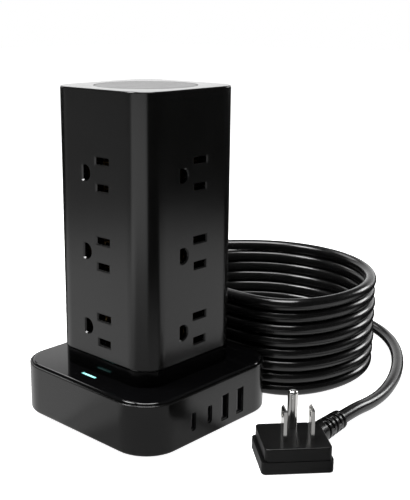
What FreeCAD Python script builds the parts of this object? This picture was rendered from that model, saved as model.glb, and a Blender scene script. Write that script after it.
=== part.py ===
"""Power strip tower with twelve grounded outlets, four USB ports and a wound mains lead.

Millimetres. +Z is up, the origin is on the floor under the middle of the square base,
and -Y is the side that holds the USB ports.
"""
import FreeCAD, Part
import math
import os

V = FreeCAD.Vector
os.makedirs("parts", exist_ok=True)

# Base
BASE_HALF = 48.3
BASE_CORNER = 18.7
BASE_RIM_Z = 26.1
BASE_WALL = 2.2
FOOT_GAP = 0.8
COVER_TOP_Z = 3.0
PLATE_TOP_Z = 27.0
PLATE_THICK = 2.5
PLATE_HALF = 46.85
PLATE_CORNER = 17.25
PLATE_EDGE = 1.1

# Tower
TOWER_HALF = 32.93
TOWER_CORNER = 12.66
TOWER_WALL = 2.5
TOWER_FOOT_Z = 34.8
TOWER_TOP_Z = 166.7
COLLAR_INSET = 0.15

# Outlets, in face coordinates: u across the face, n inwards from it, z up
OUTLET_Z = (50.2, 88.55, 126.9)
BLADE_PITCH = 12.7
SLOT_U = 3.78
SLOT_HEIGHT = 3.0
NEUTRAL_SLOT = 8.8
HOT_SLOT = 7.9
GROUND_U = -8.4
GROUND_R = 3.55
GROUND_FLAT = 1.45
BEVEL = 0.65
FACES = (("front", 0.0), ("right", 90.0), ("back", 180.0), ("left", 270.0))

# Socket frames and bus bars
FRAME_HALF_U = 14.0
FRAME_WALL = 0.8
FRAME_Z = (38.5, 138.5)
FRAME_DEPTH = (2.6, 16.4)
BAR_Z = (40.0, 136.0)
BAR_DEPTH = (6.0, 12.0)
CLIP_DEPTH = (5.0, 13.0)
CLIP_SHEET = 0.5
CLIP_GAP = 1.7
GROUND_GAP = 4.9
HOT_BAR_U = 8.4
NEUTRAL_BAR_U = -1.6
GROUND_BAR_U = -13.0
BAR_THICK = 0.8

# Power button
BUTTON_R = 25.0
BUTTON_GAP = 0.3
BUTTON_THICK = 2.8
BUTTON_TRAVEL = 2.5
GUIDE_FLOOR_Z = (152.0, 154.0)
SPRING_R = 7.0
SPRING_WIRE = 0.45
STEM_R = 3.0
STEM_END_Z = 156.8
SWITCH_Z = (140.0, 151.9)
PLUNGER_R = 2.0

# USB ports on the front face
USB_Z = 11.9
USB_C_X = (-16.9, -5.3)
USB_A_X = (6.0, 17.5)
USB_C_SIZE = (3.4, 9.5)
USB_A_SIZE = (5.4, 13.5)
PORT_FRONT_Y = -BASE_HALF + 0.6

# Screws and feet
CORNERS = ((-1, -1), (-1, 1), (1, -1), (1, 1))
FEET_AT = [(sx * 31.0, sy * 31.0) for sx, sy in CORNERS]
BASE_SCREWS_AT = [(sx * 39.3, sy * 39.3) for sx, sy in CORNERS]
TOWER_SCREWS_AT = [(sx * 25.4, sy * 25.4) for sx, sy in CORNERS]
SCREW_R = 1.45
SCREW_HOLE_R = 1.5
SCREW_HEAD_R = 2.75
FOOT_R = 4.6
FOOT_TOP_Z = 1.8

# Boards, indicator and breaker in the base
SURGE_BOARD_Z = 6.0
SURGE_POSTS = ((-32, -4), (32, -4), (-32, 26), (32, 26))
USB_BOARD_Z = 3.6
BOARD_THICK = 1.6
SURGE_TOP_Z = SURGE_BOARD_Z + BOARD_THICK
USB_TOP_Z = USB_BOARD_Z + BOARD_THICK
LIGHT_X = -37.8
LIGHT_Y = (-2.3, 7.2)
LIGHT_HALF_WIDTH = 0.65
RESET_X = -20.0
RESET_Z = 14.0
RESET_R = 3.4
RESET_TIP_Y = BASE_HALF - 0.3
RESET_END_Y = 41.0
RESET_TRAVEL = 2.0

# Wires: where each trunk stands and the height of its branches
HOT_TRUNK = (7.0, 4.5)
FEED_AT = (4.0, -9.0)
NEUTRAL_AT = (-8.0, -5.0)
GROUND_AT = (0.0, 0.0)
HOT_BRANCH_Z = 47.0
NEUTRAL_BRANCH_Z = 44.0
GROUND_BRANCH_Z = 41.0
ENTRY_Z = 14.5
CORE_SPACING = 3.7
TRUNK_R = 1.4
BRANCH_R = 0.9

# Cord, its coil and its plug
CORD_D = 6.8
CORD_R = CORD_D / 2
GLAND_X = 27.0
GLAND_Z = 12.5
GLAND_LENGTH = 20.0
GLAND_BACK_Y = BASE_HALF - 4.6
COIL_X = 98.5
COIL_Y = 5.5
COIL_R = 65.0
COIL_FLAT_X = 52.6
COIL_FLAT_R = 28.0
COIL_TURNS = 8
COIL_TOP_Z = COIL_TURNS * CORD_D
PLUG_ORIGIN = (-18.2, -90.5)
PLUG_TURN = -41.55
PLUG_WIDTH = 33.0
PLUG_DEPTH = 28.5
PLUG_SEAM_Z = 6.1
PLUG_FACE_Z = 12.4
BLADE_U = (11.6, 24.3)
BLADE_W = 10.4
GROUND_PIN_U = 17.95
GROUND_PIN_W = 22.3
PLUG_CUT_SUM = 53.5
RELIEF_Z = 6.3
RELIEF_LENGTH = 24.0

LEAD_ROUTE = [
    (27.0, 68.3, 12.5),
    (27.0, 87.6, 12.3),
    (35.7, 104.6, 11.4),
    (51.4, 116.0, 12.8),
    (71.0, 119.2, 17.8),
    (90.6, 113.2, 26.2),
    (107.4, 100.0, 36.6),
    (120.2, 83.0, 45.8),
    (129.9, 66.0, 50.9),
]
TAIL_ROUTE = [
    (134.1, 67.0, CORD_R),
    (152.8, 56.2, CORD_R),
    (169.3, 40.6, CORD_R),
    (181.0, 21.0, CORD_R),
    (186.0, 0.0, CORD_R),
    (184.5, -18.5, CORD_R),
    (176.5, -34.5, CORD_R),
    (164.0, -49.0, CORD_R),
    (148.5, -61.5, CORD_R),
    (130.5, -72.0, CORD_R),
    (110.8, -80.5, CORD_R),
    (91.0, -86.0, CORD_R),
    (73.6, -88.3, 4.4),
    (58.7, -89.04, RELIEF_Z),
    (43.7, -89.94, RELIEF_Z),
]


def export(name, shape):
    """Write one node's solids, and stop if they are not sound."""
    if not shape.isValid():
        raise ValueError(name + " is not a valid shape")
    shape.exportStep("parts/" + name + ".step")
    print(name, "solids", len(shape.Solids), "volume", round(shape.Volume, 1))


def box(x0, x1, y0, y1, z0, z1):
    """Box between two opposite corners."""
    return Part.makeBox(x1 - x0, y1 - y0, z1 - z0, V(x0, y0, z0))


def cylinder(x, y, z0, z1, radius):
    """Upright cylinder."""
    return Part.makeCylinder(radius, z1 - z0, V(x, y, z0))


def cone(x, y, z0, z1, r0, r1):
    """Upright cone frustum."""
    return Part.makeCone(r0, r1, z1 - z0, V(x, y, z0))


def rounded_wire(x0, x1, y0, y1, radius, z):
    """Closed rectangle wire with round corners at height z."""
    corners = [(x1 - radius, y1 - radius, 0), (x0 + radius, y1 - radius, 90),
               (x0 + radius, y0 + radius, 180), (x1 - radius, y0 + radius, 270)]
    arcs = []
    for cx, cy, start in corners:
        points = []
        for turn in (0, 45, 90):
            angle = math.radians(start + turn)
            points.append(V(cx + radius * math.cos(angle), cy + radius * math.sin(angle), z))
        arcs.append(points)
    edges = []
    for index, points in enumerate(arcs):
        edges.append(Part.Arc(*points).toShape())
        following = arcs[(index + 1) % 4][0]
        edges.append(Part.LineSegment(points[2], following).toShape())
    return Part.Wire(edges)


def rounded_prism(x0, x1, y0, y1, radius, z0, z1):
    """Upright prism on a rectangle with round corners."""
    face = Part.Face(rounded_wire(x0, x1, y0, y1, radius, z0))
    return face.extrude(V(0, 0, z1 - z0))


def square_prism(half, radius, z0, z1):
    """Upright square prism with round corners, centred on the Z axis."""
    return rounded_prism(-half, half, -half, half, radius, z0, z1)


def round_level(shape, z, radius):
    """Round every edge that lies in the plane at height z."""
    edges = []
    for edge in shape.Edges:
        box_z = edge.BoundBox
        if abs(box_z.ZMin - z) < 1e-6 and abs(box_z.ZMax - z) < 1e-6:
            edges.append(edge)
    return shape.makeFillet(radius, edges)


def on_face(shape, angle):
    """Turn a shape made for the front face about the tower's axis."""
    turned = shape.copy()
    turned.rotate(V(0, 0, 0), V(0, 0, 1), angle)
    return turned


def face_box(u0, u1, n0, n1, z0, z1):
    """Box in the front face's coordinates: u across, n inwards, z up."""
    return box(u0, u1, -TOWER_HALF + n0, -TOWER_HALF + n1, z0, z1)


def usb_opening(x, width, height, radius):
    """Cutter for a port opening through the front wall."""
    cutter = rounded_prism(x - width / 2, x + width / 2, -height / 2, height / 2, radius, 0, 8)
    cutter.rotate(V(x, 0, 0), V(1, 0, 0), 90)
    cutter.translate(V(0, -BASE_HALF + 5, USB_Z))
    return cutter


def base_shell():
    """Outer wall of the base, with its corner bosses and openings."""
    body = square_prism(BASE_HALF, BASE_CORNER, FOOT_GAP, BASE_RIM_Z)
    body = round_level(body, FOOT_GAP, 1.6)
    body = round_level(body, BASE_RIM_Z, 0.5)
    inner = BASE_HALF - BASE_WALL
    ledge_z = PLATE_TOP_Z - PLATE_THICK
    body = body.cut(square_prism(inner, BASE_CORNER - BASE_WALL, -1, ledge_z))
    body = body.cut(square_prism(PLATE_HALF + 0.45, PLATE_CORNER + 0.45, ledge_z, BASE_RIM_Z + 1))
    bosses = [cylinder(x, y, COVER_TOP_Z + 0.05, 22, 3.5) for x, y in BASE_SCREWS_AT]
    bosses = [boss.common(square_prism(inner + 0.3, BASE_CORNER - BASE_WALL, 0, 30)) for boss in bosses]
    body = body.fuse(bosses)
    for x, y in BASE_SCREWS_AT:
        body = body.cut(cylinder(x, y, 0, 16, SCREW_HOLE_R))
    for x in USB_C_X:
        body = body.cut(usb_opening(x, USB_C_SIZE[0], USB_C_SIZE[1], 1.69))
    for x in USB_A_X:
        body = body.cut(usb_opening(x, USB_A_SIZE[0], USB_A_SIZE[1], 0.5))
    gland_hole = Part.makeCylinder(6.0, 6, V(GLAND_X, 44, GLAND_Z), V(0, 1, 0))
    reset_hole = Part.makeCylinder(RESET_R + 0.3, 6, V(RESET_X, 44, RESET_Z), V(0, 1, 0))
    return body.cut(gland_hole).cut(reset_hole).removeSplitter()


def bottom_cover():
    """Floor of the base, with foot pockets, screw holes and board posts."""
    body = square_prism(BASE_HALF - BASE_WALL - 0.1, BASE_CORNER - BASE_WALL - 0.1, FOOT_GAP, COVER_TOP_Z)
    for x, y in FEET_AT:
        body = body.cut(cylinder(x, y, 0, FOOT_TOP_Z, FOOT_R + 0.1))
    for x, y in BASE_SCREWS_AT:
        body = body.cut(cylinder(x, y, 0, 5, 1.7))
        body = body.cut(cone(x, y, FOOT_GAP, 2.3, 2.95, 1.7))
    posts = [cylinder(x, y, COVER_TOP_Z, SURGE_BOARD_Z, 2.5) for x, y in SURGE_POSTS]
    rails = [box(x, x + 2, -44, -16, COVER_TOP_Z, USB_BOARD_Z) for x in (-30, -1, 28)]
    return body.fuse(posts + rails).removeSplitter()


def rubber_feet():
    """Four round feet set in pockets of the bottom cover."""
    feet = []
    for x, y in FEET_AT:
        feet.append(round_level(cylinder(x, y, 0, FOOT_TOP_Z, FOOT_R), 0, 0.4))
    return Part.makeCompound(feet)


def cross_screw(x, y, head_z, neck_z, tip_z):
    """Countersunk screw pointing up, with a cross recess in its head."""
    screw = cone(x, y, head_z, neck_z, SCREW_HEAD_R, SCREW_R)
    screw = screw.fuse(cylinder(x, y, neck_z, tip_z, SCREW_R))
    arm = 0.35
    recess = box(x - arm, x + arm, y - 1.6, y + 1.6, head_z - 0.1, head_z + 0.7)
    recess = recess.fuse(box(x - 1.6, x + 1.6, y - arm, y + arm, head_z - 0.1, head_z + 0.7))
    return screw.cut(recess)


def base_screws():
    """Screws that hold the bottom cover to the base shell."""
    return Part.makeCompound([cross_screw(x, y, 0.9, 2.25, 14.0) for x, y in BASE_SCREWS_AT])


def top_plate():
    """Glossy plate that closes the base around the tower."""
    bottom = PLATE_TOP_Z - PLATE_THICK
    body = square_prism(PLATE_HALF, PLATE_CORNER, bottom, PLATE_TOP_Z)
    body = round_level(body, PLATE_TOP_Z, PLATE_EDGE)
    body = body.cut(square_prism(19.0, 5.0, bottom - 1, PLATE_TOP_Z + 1))
    for x, y in TOWER_SCREWS_AT:
        body = body.cut(cylinder(x, y, bottom - 1, PLATE_TOP_Z + 1, 1.7))
    lens = LIGHT_HALF_WIDTH + 0.05
    low_y = LIGHT_Y[0] - 0.05
    high_y = LIGHT_Y[1] + 0.05
    return body.cut(box(LIGHT_X - lens, LIGHT_X + lens, low_y, high_y, bottom - 1, PLATE_TOP_Z + 1))


def light_pipe():
    """Clear bar that shows the indicator light through the plate."""
    bar = box(LIGHT_X - LIGHT_HALF_WIDTH, LIGHT_X + LIGHT_HALF_WIDTH, LIGHT_Y[0], LIGHT_Y[1], 22.6, 27.05)
    foot = box(LIGHT_X - 1.6, LIGHT_X + 1.6, LIGHT_Y[0] - 1, LIGHT_Y[1] + 1, 22.6, 24.4)
    return bar.fuse(foot).removeSplitter()


def indicator_led():
    """Indicator lamp on its small upright board."""
    board = box(LIGHT_X - 0.5, LIGHT_X + 0.5, -2, 7, COVER_TOP_Z + 0.05, 21.0)
    lamp = box(LIGHT_X - 1.5, LIGHT_X + 1.5, -1.5, 6.5, 21.0, 22.5)
    return board.fuse(lamp)


def tower_collar():
    """Glossy collar between the plate and the tower."""
    half = TOWER_HALF - COLLAR_INSET
    body = square_prism(half, TOWER_CORNER - COLLAR_INSET, PLATE_TOP_Z, TOWER_FOOT_Z)
    inner = TOWER_HALF - TOWER_WALL
    return body.cut(square_prism(inner, TOWER_CORNER - TOWER_WALL, PLATE_TOP_Z - 1, TOWER_FOOT_Z + 1))


def slot_wire(length, height, u, z, n):
    """Rectangle wire of a blade slot at depth n of the front face."""
    y = -TOWER_HALF + n
    points = [V(u - length / 2, y, z - height / 2), V(u + length / 2, y, z - height / 2),
              V(u + length / 2, y, z + height / 2), V(u - length / 2, y, z + height / 2)]
    return Part.makePolygon(points + points[:1])


def ground_wire(radius, flat, z, n):
    """D-shaped wire of a ground hole, flat on the side away from the slots."""
    y = -TOWER_HALF + n
    drop = math.sqrt(radius * radius - flat * flat)
    top = V(GROUND_U - flat, y, z + drop)
    low = V(GROUND_U - flat, y, z - drop)
    arc = Part.Arc(low, V(GROUND_U + radius, y, z), top).toShape()
    return Part.Wire([arc, Part.LineSegment(top, low).toShape()])


def bevelled_cut(outer, inner, through):
    """Cutter that narrows over the bevel and then goes straight through the wall."""
    mouth = Part.makeLoft([outer, inner], True)
    return mouth.fuse(Part.Face(through).extrude(V(0, TOWER_WALL + 1, 0)))


def outlet_cutters(z):
    """Cutters for one outlet of the front face: two slots and the ground hole."""
    cutters = []
    for length, dz in ((NEUTRAL_SLOT, BLADE_PITCH / 2), (HOT_SLOT, -BLADE_PITCH / 2)):
        wide = slot_wire(length + 2 * BEVEL, SLOT_HEIGHT + 2 * BEVEL, SLOT_U, z + dz, 0.0)
        tight = slot_wire(length, SLOT_HEIGHT, SLOT_U, z + dz, BEVEL)
        cutters.append(bevelled_cut(wide, tight, tight))
    wide = ground_wire(GROUND_R + BEVEL, GROUND_FLAT + BEVEL, z, 0.0)
    tight = ground_wire(GROUND_R, GROUND_FLAT, z, BEVEL)
    cutters.append(bevelled_cut(wide, tight, tight))
    return cutters


def tower_shell():
    """Satin tower housing, closed at the top around the button's hole."""
    body = square_prism(TOWER_HALF, TOWER_CORNER, TOWER_FOOT_Z, TOWER_TOP_Z)
    body = round_level(body, TOWER_TOP_Z, 0.7)
    body = round_level(body, TOWER_FOOT_Z, 1.0)
    inner = TOWER_HALF - TOWER_WALL
    corner = TOWER_CORNER - TOWER_WALL
    body = body.cut(square_prism(inner, corner, TOWER_FOOT_Z - 1, TOWER_TOP_Z - TOWER_WALL))
    body = body.cut(cylinder(0, 0, TOWER_TOP_Z - 5, TOWER_TOP_Z + 1, BUTTON_R + BUTTON_GAP))
    room = square_prism(inner + 0.3, corner, 0, 200)
    below = square_prism(inner - 0.1, corner - 0.1, 0, TOWER_FOOT_Z)
    for x, y in TOWER_SCREWS_AT:
        foot = cylinder(x, y, PLATE_TOP_Z, TOWER_FOOT_Z, 3.3).common(below)
        boss = cylinder(x, y, TOWER_FOOT_Z, 60, 3.3).common(room)
        body = body.fuse([foot, boss])
    for x, y in TOWER_SCREWS_AT:
        body = body.cut(cylinder(x, y, PLATE_TOP_Z - 1, 45, SCREW_HOLE_R))
    for name, angle in FACES:
        for z in OUTLET_Z:
            for cutter in outlet_cutters(z):
                body = body.cut(on_face(cutter, angle))
    return body.removeSplitter()


def tower_screws():
    """Screws from under the plate into the tower's corner bosses."""
    bottom = PLATE_TOP_Z - PLATE_THICK
    return Part.makeCompound([cross_screw(x, y, bottom - 1.4, bottom, 42.0) for x, y in TOWER_SCREWS_AT])


def power_button():
    """Round push button with a guide skirt and a central stem."""
    bottom = TOWER_TOP_Z - BUTTON_THICK
    body = cylinder(0, 0, bottom, TOWER_TOP_Z, BUTTON_R)
    body = round_level(body, TOWER_TOP_Z, 0.35)
    skirt = cylinder(0, 0, bottom - 4.0, bottom, BUTTON_R)
    skirt = skirt.cut(cylinder(0, 0, bottom - 5, bottom, BUTTON_R - 1.4))
    stem = cylinder(0, 0, STEM_END_Z, bottom, STEM_R)
    return body.fuse([skirt, stem]).removeSplitter()


def button_guide():
    """Ring that guides the button, on a floor that carries the spring and the switch."""
    inner = TOWER_HALF - TOWER_WALL
    floor = square_prism(inner - 0.1, TOWER_CORNER - TOWER_WALL, GUIDE_FLOOR_Z[0], GUIDE_FLOOR_Z[1])
    ring = cylinder(0, 0, GUIDE_FLOOR_Z[1], TOWER_TOP_Z - TOWER_WALL, BUTTON_R + 2.1)
    ring = ring.cut(cylinder(0, 0, GUIDE_FLOOR_Z[1], TOWER_TOP_Z, BUTTON_R + BUTTON_GAP))
    body = floor.fuse(ring)
    return body.cut(cylinder(0, 0, 150, 156, STEM_R + 0.4)).removeSplitter()


def button_spring():
    """Helical spring around the stem that lifts the button."""
    low = GUIDE_FLOOR_Z[1] + SPRING_WIRE
    high = TOWER_TOP_Z - BUTTON_THICK - SPRING_WIRE
    turns = 4.0
    helix = Part.makeHelix((high - low) / turns, high - low, SPRING_R)
    section = Part.Wire([Part.makeCircle(SPRING_WIRE, V(SPRING_R, 0, 0), V(0, 1, 0.2))])
    spring = Part.Wire(helix.Edges).makePipeShell([section], True, True)
    spring.translate(V(0, 0, low))
    return spring


def power_switch():
    """Switch body with two terminals and a well for its plunger."""
    body = box(-10, 10, -11.5, 8, SWITCH_Z[0], SWITCH_Z[1])
    body = body.cut(cylinder(0, 0, SWITCH_Z[0] + 5, SWITCH_Z[1] + 1, PLUNGER_R + 0.3))
    tabs = []
    for x, y in (HOT_TRUNK, FEED_AT):
        tabs.append(box(x - 2, x + 2, y - 0.5, y + 0.5, SWITCH_Z[0] - 4, SWITCH_Z[0]))
    return body.fuse(tabs)


def switch_plunger():
    """Plunger between the button's stem and the switch."""
    return cylinder(0, 0, SWITCH_Z[0] + 5 + BUTTON_TRAVEL + 1, STEM_END_Z, PLUNGER_R)


def socket_frame(angle):
    """Insulating tray behind one face, with ribs that the bus bars pass."""
    u = FRAME_HALF_U
    near, far = FRAME_DEPTH
    low, high = FRAME_Z
    tray = face_box(-u, u, near, far, low, high)
    tray = tray.cut(face_box(-u + FRAME_WALL, u - FRAME_WALL, near - 1, far - 1.2, low + 1.2, high - 1.2))
    for lower, upper in zip(OUTLET_Z, OUTLET_Z[1:]):
        middle = (lower + upper) / 2
        rib = face_box(-u + 0.4, u - 0.4, near, far - 0.5, middle - 0.6, middle + 0.6)
        for bar_u in (HOT_BAR_U, NEUTRAL_BAR_U, GROUND_BAR_U):
            past_u = bar_u + BAR_THICK + 0.3
            rib = rib.cut(face_box(bar_u - 0.3, past_u, 0, BAR_DEPTH[1] + 0.3, middle - 2, middle + 2))
        tray = tray.fuse(rib)
    window = face_box(-u + FRAME_WALL, u - FRAME_WALL, far - 2, far + 1, low + 1.2, low + 10)
    return on_face(tray.cut(window).removeSplitter(), angle)


def bus_bar(angle, bar_u, clip_end, clip_z, gap):
    """Upright contact strip with a pair of spring leaves at every outlet."""
    strip = face_box(bar_u, bar_u + BAR_THICK, BAR_DEPTH[0], BAR_DEPTH[1], BAR_Z[0], BAR_Z[1])
    leaves = []
    low_u = min(bar_u + BAR_THICK, clip_end)
    high_u = max(bar_u, clip_end)
    for z in OUTLET_Z:
        for side in (-1, 1):
            middle = z + clip_z + side * (gap + CLIP_SHEET) / 2
            low_z = middle - CLIP_SHEET / 2
            leaves.append(face_box(low_u, high_u, CLIP_DEPTH[0], CLIP_DEPTH[1], low_z, low_z + CLIP_SHEET))
    return on_face(strip.fuse(leaves).removeSplitter(), angle)


def rod(start, end, radius):
    """Straight wire between two points."""
    along = V(*end) - V(*start)
    return Part.makeCylinder(radius, along.Length, V(*start), along)


def bent_wire(points, radius):
    """Wire through points, with a ball at each bend."""
    pieces = [rod(a, b, radius) for a, b in zip(points, points[1:])]
    balls = [Part.makeSphere(radius, V(*point)) for point in points[1:-1]]
    return pieces[0].fuse(pieces[1:] + balls)


def branches(start, bar_u, z):
    """Four thin wires from a trunk to the same bar of every face."""
    wires = [Part.makeSphere(TRUNK_R, V(start[0], start[1], z))]
    for name, angle in FACES:
        turn = math.radians(angle)
        u = bar_u + BAR_THICK / 2
        y = -TOWER_HALF + BAR_DEPTH[1]
        end = (u * math.cos(turn) - y * math.sin(turn), u * math.sin(turn) + y * math.cos(turn), z)
        wires.append(rod((start[0], start[1], z), end, BRANCH_R))
    return wires


def mains_entry(place, shift):
    """Points of a core from the gland to the foot of a trunk."""
    x = GLAND_X + shift
    return [(x, GLAND_BACK_Y, GLAND_Z), (x, 38, ENTRY_Z), (place[0], place[1], ENTRY_Z)]


def hot_feed_wire():
    """Live core from the cord up to the switch."""
    return bent_wire(mains_entry(FEED_AT, CORE_SPACING) + [(FEED_AT[0], FEED_AT[1], SWITCH_Z[0] - 4)], TRUNK_R)


def hot_wires():
    """Switched live wire down from the switch, and its branches."""
    x, y = HOT_TRUNK
    trunk = rod((x, y, SWITCH_Z[0] - 4), (x, y, HOT_BRANCH_Z), TRUNK_R)
    return trunk.fuse(branches(HOT_TRUNK, HOT_BAR_U, HOT_BRANCH_Z))


def neutral_wires():
    """Neutral core from the cord, and its branches."""
    x, y = NEUTRAL_AT
    trunk = bent_wire(mains_entry(NEUTRAL_AT, -CORE_SPACING) + [(x, y, NEUTRAL_BRANCH_Z)], TRUNK_R)
    return trunk.fuse(branches(NEUTRAL_AT, NEUTRAL_BAR_U, NEUTRAL_BRANCH_Z))


def ground_wires():
    """Ground core from the cord, and its branches."""
    x, y = GROUND_AT
    trunk = bent_wire(mains_entry(GROUND_AT, 0.0) + [(x, y, GROUND_BRANCH_Z)], TRUNK_R)
    return trunk.fuse(branches(GROUND_AT, GROUND_BAR_U, GROUND_BRANCH_Z))


def surge_board():
    """Board that carries the surge parts."""
    return rounded_prism(-36, 36, -8, 29, 2, SURGE_BOARD_Z, SURGE_TOP_Z)


def varistors():
    """Three standing surge absorbers with their legs."""
    discs = []
    for x in (-31, -24, -17):
        disc = Part.makeCylinder(6.5, 4.2, V(x - 2.1, 4, SURGE_TOP_Z + 8.5), V(1, 0, 0))
        legs = [box(x - 0.4, x + 0.4, y - 0.4, y + 0.4, SURGE_TOP_Z, SURGE_TOP_Z + 4) for y in (1, 7)]
        discs.append(disc.fuse(legs))
    return Part.makeCompound(discs)


def thermal_fuse():
    """Thermal cut-out laid on the board beside the absorbers."""
    body = Part.makeCylinder(2.0, 11, V(-31, 16, SURGE_TOP_Z + 2.0), V(1, 0, 0))
    cap = Part.makeCone(2.0, 1.0, 1.5, V(-20, 16, SURGE_TOP_Z + 2.0), V(1, 0, 0))
    return body.fuse(cap)


def noise_choke():
    """Ring-shaped noise choke lying on the board."""
    return Part.makeTorus(5.6, 2.6, V(25, 4, SURGE_TOP_Z + 2.6))


def overload_breaker():
    """Overload breaker behind the back wall, with a well for its button."""
    body = box(RESET_X - 8, RESET_X + 8, 30.5, 46.0, SURGE_TOP_Z + 0.2, 21)
    well_y = RESET_END_Y - RESET_TRAVEL - 1
    well = Part.makeCylinder(RESET_R + 0.3, 9, V(RESET_X, well_y, RESET_Z), V(0, 1, 0))
    return body.cut(well)


def reset_button():
    """Round reset button of the breaker."""
    length = RESET_TIP_Y - RESET_END_Y
    body = Part.makeCylinder(RESET_R, length, V(RESET_X, RESET_END_Y, RESET_Z), V(0, 1, 0))
    rim = [edge for edge in body.Edges if edge.BoundBox.YMin > RESET_TIP_Y - 1e-6]
    return body.makeFillet(0.5, rim)


def usb_board():
    """Board that carries the USB ports."""
    return rounded_prism(-33, 33, -45.4, -13, 2, USB_BOARD_Z, USB_TOP_Z)


def usb_c_port(x):
    """Oval metal shell of a USB-C port on two legs."""
    outer = rounded_prism(x - 1.6, x + 1.6, -4.5, 4.5, 1.58, 0, 8.5)
    inner = rounded_prism(x - 1.25, x + 1.25, -4.15, 4.15, 1.23, -1, 7.5)
    shell = outer.cut(inner)
    shell.rotate(V(x, 0, 0), V(1, 0, 0), -90)
    shell.translate(V(0, PORT_FRONT_Y, USB_Z))
    legs = [box(x - 0.8, x + 0.8, y, y + 1.2, USB_TOP_Z, USB_Z - 4.2) for y in (-44.5, -41.2)]
    return shell.fuse(legs)


def usb_a_port(x):
    """Rectangular metal shell of a USB-A port."""
    outer = rounded_prism(x - 2.6, x + 2.6, -6.6, 6.6, 0.5, 0, 13)
    inner = rounded_prism(x - 2.25, x + 2.25, -6.25, 6.25, 0.3, -1, 12)
    shell = outer.cut(inner)
    shell.rotate(V(x, 0, 0), V(1, 0, 0), -90)
    shell.translate(V(0, PORT_FRONT_Y, USB_Z))
    return shell


def usb_tongues():
    """Plastic tongues inside the four ports."""
    y = PORT_FRONT_Y
    tongues = [box(x - 0.35, x + 0.35, y + 0.9, y + 7.5, USB_Z - 3.3, USB_Z + 3.3) for x in USB_C_X]
    tongues += [box(x - 1.9, x - 0.3, y + 0.7, y + 12, USB_Z - 5.6, USB_Z + 5.6) for x in USB_A_X]
    return Part.makeCompound(tongues)


def usb_transformer():
    """Small supply transformer: core and winding."""
    core = box(-29, -13, -27, -15, USB_TOP_Z, USB_TOP_Z + 13)
    winding = box(-31, -11, -24, -18, USB_TOP_Z + 2.5, USB_TOP_Z + 10.5)
    return core.fuse(winding)


def usb_capacitor():
    """Upright can capacitor."""
    return round_level(cylinder(27, -22, USB_TOP_Z, USB_TOP_Z + 13, 4.0), USB_TOP_Z + 13, 0.6)


def cord_gland():
    """Tapered, ribbed strain relief held in the base's back wall."""
    wall = BASE_HALF
    profile = [(0, GLAND_BACK_Y), (7.0, GLAND_BACK_Y), (7.0, wall - 3.0), (5.9, wall - 3.0)]
    profile += [(5.9, wall + 0.1), (6.6, wall + 0.1)]
    ribs = 5
    step = (GLAND_LENGTH - 3.5) / ribs
    for index in range(ribs):
        start = wall + 2.6 + index * step
        outer = 6.4 - 0.32 * index
        profile += [(outer, start), (outer - 0.8, start + 0.35), (outer - 0.8, start + step * 0.42),
                    (outer - 0.16, start + step * 0.55)]
    profile += [(4.7, wall + GLAND_LENGTH - 0.9), (4.3, wall + GLAND_LENGTH), (0, wall + GLAND_LENGTH)]
    points = [V(GLAND_X + radius, y, GLAND_Z) for radius, y in profile]
    face = Part.Face(Part.makePolygon(points + points[:1]))
    return face.revolve(V(GLAND_X, 0, GLAND_Z), V(0, 1, 0), 360)


def route_path(route):
    """Straight runs joined by the largest tangent arcs they allow, and the path's length."""
    points = [V(*point) for point in route]
    edges = []
    radii = []
    start = points[0]
    for before, corner, after in zip(points, points[1:], points[2:]):
        run_in = corner - before
        run_out = after - corner
        half_turn = run_in.getAngle(run_out) / 2
        reach = 0.45 * min(run_in.Length, run_out.Length)
        radius = reach / math.tan(half_turn)
        radii.append(round(radius, 1))
        to_before = (before - corner).normalize()
        to_after = (after - corner).normalize()
        first = corner + to_before * reach
        last = corner + to_after * reach
        inward = (to_before + to_after).normalize()
        middle = corner + inward * (radius / math.cos(half_turn) - radius)
        edges.append(Part.LineSegment(start, first).toShape())
        edges.append(Part.Arc(first, middle, last).toShape())
        start = last
    edges.append(Part.LineSegment(start, points[-1]).toShape())
    length = sum(edge.Length for edge in edges)
    return Part.Wire(edges), radii, length


def cord_tube(name, route):
    """Plain round tube along a route, with its radii and volume printed."""
    path, radii, length = route_path(route)
    start = V(*route[0])
    heading = V(*route[1]) - start
    section = Part.Wire([Part.makeCircle(CORD_R, start, heading)])
    tube = path.makePipeShell([section], True, False)
    ideal = math.pi * CORD_R * CORD_R * length
    print(name, "radii", radii, "length", round(length, 1), "volume ratio", round(tube.Volume / ideal, 4))
    return tube


def coil_outline(offset):
    """Outline of the coil seen from above, moved outwards by offset: a circle flattened by the base."""
    radius = COIL_R + offset
    corner_r = COIL_FLAT_R + offset
    corner_x = COIL_FLAT_X + COIL_FLAT_R
    rise = math.sqrt((COIL_R - COIL_FLAT_R) ** 2 - (COIL_X - corner_x) ** 2)
    tangent = math.atan2(rise, corner_x - COIL_X)
    middle = (tangent + math.pi) / 2

    def at(cx, cy, r, angle):
        return V(cx + r * math.cos(angle), cy + r * math.sin(angle), 0)

    upper = COIL_Y + rise
    lower = COIL_Y - rise
    top = at(COIL_X, COIL_Y, radius, tangent)
    bottom = at(COIL_X, COIL_Y, radius, -tangent)
    flat_top = at(corner_x, upper, corner_r, math.pi)
    flat_bottom = at(corner_x, lower, corner_r, math.pi)
    edges = [
        Part.Arc(bottom, at(COIL_X, COIL_Y, radius, 0), top).toShape(),
        Part.Arc(top, at(corner_x, upper, corner_r, middle), flat_top).toShape(),
        Part.LineSegment(flat_top, flat_bottom).toShape(),
        Part.Arc(flat_bottom, at(corner_x, lower, corner_r, -middle), bottom).toShape(),
    ]
    return Part.Wire(edges)


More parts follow.
